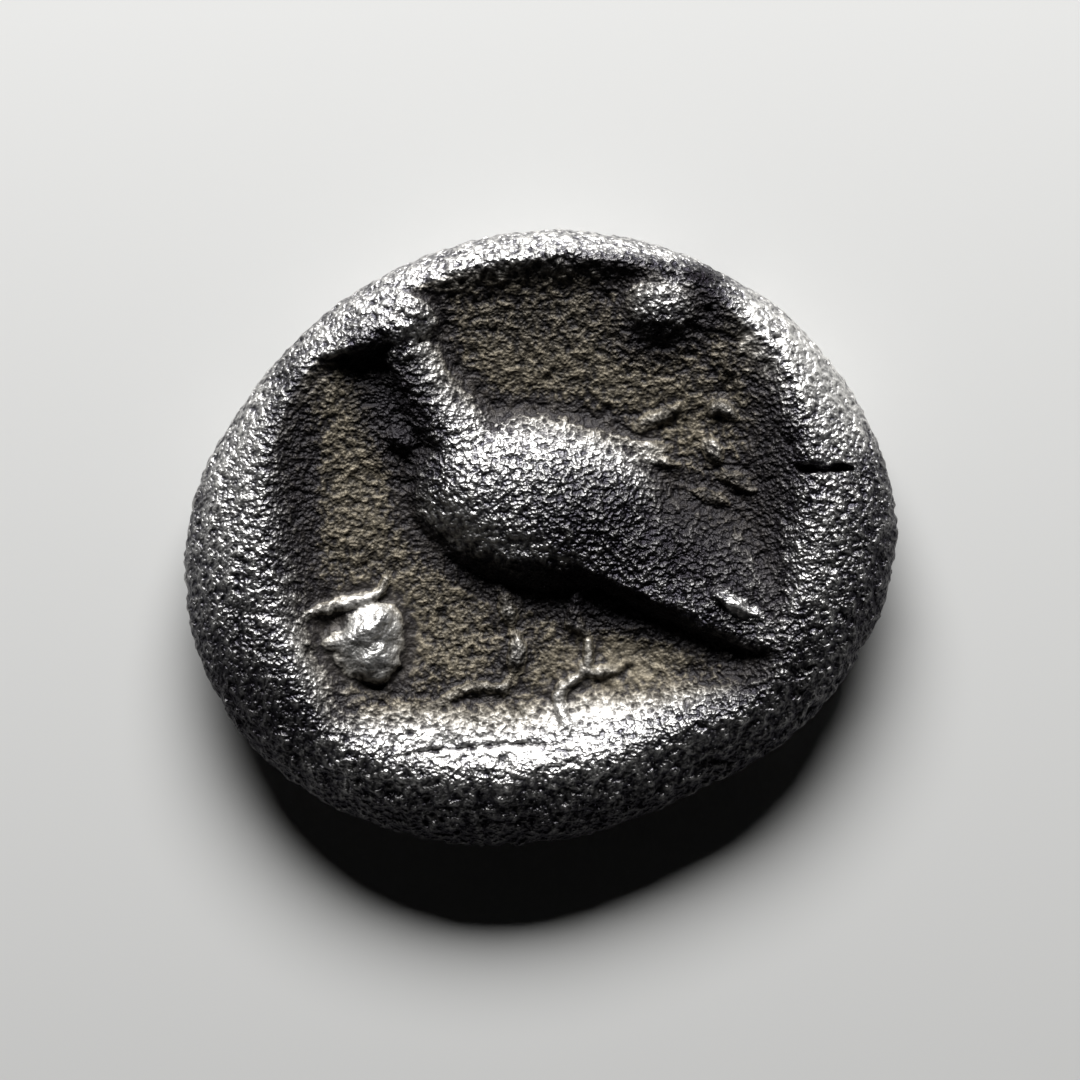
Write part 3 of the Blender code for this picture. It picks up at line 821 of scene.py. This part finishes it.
def worn_silver():
    material, tree = new_material("worn silver")
    place = tree.add("ShaderNodeTexCoord", output="Object")
    grain, wear, hollow, patina_and_light_share = (tree.note(name) for name in ("grain", *SURFACE_NOTES))
    fine_size, fine_seed, fine_detail = FINE_GRAIN
    fine = tree.noise(place, fine_size, fine_seed, fine_detail)
    patch_size, patch_seed, patch_detail = PATCHES
    patches = tree.noise(place, patch_size, patch_seed, patch_detail) - 0.5
    # Bright grain tops and dark pores: rubbed metal and earth, and partly painted glints and painted shade
    # of the grain
    peak = grain * PEAK_GRAIN + (fine - 0.5) * PEAK_FINE - patina_and_light_share * PEAK_PATINA_AND_LIGHT
    peak = peak.between(*PEAK_RANGE)
    worn = wear + patches * WORN_PATCHES + (peak - 0.5) * WORN_PEAKS
    worn = worn.between(*WORN_RANGE)
    groove = hollow + patina_and_light_share * GROOVE_PATINA_AND_LIGHT - (peak - 0.5) * GROOVE_PEAKS - patches * GROOVE_PATCHES
    groove = groove.between(*GROOVE_RANGE)
    earth = tree.blend(peak, EARTH_IN_PORES, EARTH_ON_GRAIN)
    silver = tree.blend(peak, SILVER_IN_PORES, SILVER_ON_GRAIN)
    # Painted shade and tarnish: grooves and patches of patina and painted shade blend towards the dark
    # colour
    shade = (groove * GROOVE_DARKNESS).at_least(patina_and_light_share * PATINA_AND_SHADE_DARKNESS)
    colour = tree.blend(shade, tree.blend(worn, earth, silver), TARNISH_AND_SHADE_COLOUR)
    relief = fine * (FINE_RELIEF + (patina_and_light_share * PATINA_AND_LIGHT_RELIEF).at_least(RUBBED_AND_LIT_RELIEF))
    bump = tree.add("ShaderNodeBump", values={"Strength": 1.0, "Distance": FINE_DEPTH, "Height": relief})
    finish_material(tree, {
        "Base Color": colour,
        "Metallic": EARTH_METALLIC + worn * (1 - EARTH_METALLIC),
        "Roughness": EARTH_ROUGHNESS - worn * (EARTH_ROUGHNESS - SILVER_ROUGHNESS),
        "Normal": bump,
    })
    return material


def pale_floor():
    """The plain surface that the coin lies on, with nothing on it."""
    material, tree = new_material("pale card")
    finish_material(tree, {"Base Color": FLOOR_COLOUR, "Roughness": FLOOR_ROUGHNESS})
    floor_part = bmesh.new()
    bmesh.ops.create_grid(floor_part, x_segments=1, y_segments=1, size=FLOOR_SIZE / 2)
    mesh = bpy.data.meshes.new("floor")
    floor_part.to_mesh(mesh)
    floor_part.free()
    mesh.materials.append(material)
    floor = bpy.data.objects.new("floor", mesh)
    bpy.context.scene.collection.objects.link(floor)


def direction(azimuth, elevation):
    """Unit vector that points this far round from +X and this far up, in degrees."""
    turn, rise = math.radians(azimuth), math.radians(elevation)
    return Vector((math.cos(turn) * math.cos(rise), math.sin(turn) * math.cos(rise), math.sin(rise)))


def soft_light(name, azimuth, elevation, power):
    light = bpy.data.lights.new(name, "AREA")
    light.shape = "ELLIPSE"
    light.size = LIGHT_LENGTH
    light.size_y = LIGHT_WIDTH
    light.energy = power
    lamp = bpy.data.objects.new(name, light)
    towards = direction(azimuth, elevation)
    lamp.location = towards * LIGHT_DISTANCE
    lamp.rotation_euler = towards.to_track_quat("Z", "Y").to_euler()
    bpy.context.scene.collection.objects.link(lamp)


def light_the_coin():
    soft_light("key", LIGHT_AZIMUTH, LIGHT_ELEVATION, LIGHT_POWER)
    world = bpy.data.worlds.new("studio")
    world.use_nodes = True
    world.node_tree.nodes.clear()
    tree = Tree(world.node_tree)
    towards = tree.add("ShaderNodeTexCoord", output="Generated")
    height = tree.add("ShaderNodeSeparateXYZ", values={0: towards}, output="Z")
    strength = SKY_AT_HORIZON - height.between(0.0, OVERHEAD_FROM) * (SKY_AT_HORIZON - SKY_OVERHEAD)
    strength = strength + (1 - height.between(BELOW_FROM, 0.0)) * (SKY_BELOW - SKY_AT_HORIZON)
    sky = tree.add("ShaderNodeBackground", values={"Strength": strength})
    tree.add("ShaderNodeOutputWorld", values={"Surface": sky})
    bpy.context.scene.world = world
    bpy.context.scene.view_settings.view_transform = "Standard"


def camera_over_the_coin():
    """Looks straight down, with the coin as large and as far off the middle as in the photograph."""
    frame_width = PHOTO_WIDTH / PIXELS_PER_MM * MM
    lens = bpy.data.cameras.new("camera")
    lens.lens = CAMERA_LENS
    lens.sensor_width = CAMERA_SENSOR
    lens.clip_start = CAMERA_NEAR
    camera = bpy.data.objects.new("camera", lens)
    right = (PHOTO_WIDTH / 2 - COIN_MIDDLE_IN_PHOTO[0]) / PIXELS_PER_MM * MM
    above = (COIN_MIDDLE_IN_PHOTO[1] - PHOTO_WIDTH / 2) / PIXELS_PER_MM * MM
    camera.location = (right, above, SCALE_HEIGHT + frame_width * CAMERA_LENS / CAMERA_SENSOR)
    bpy.context.scene.collection.objects.link(camera)
    bpy.context.scene.camera = camera


coin = struck_coin()
corrode(coin, worn_silver())
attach(coin, "root")
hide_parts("coin")

pale_floor()
light_the_coin()
camera_over_the_coin()
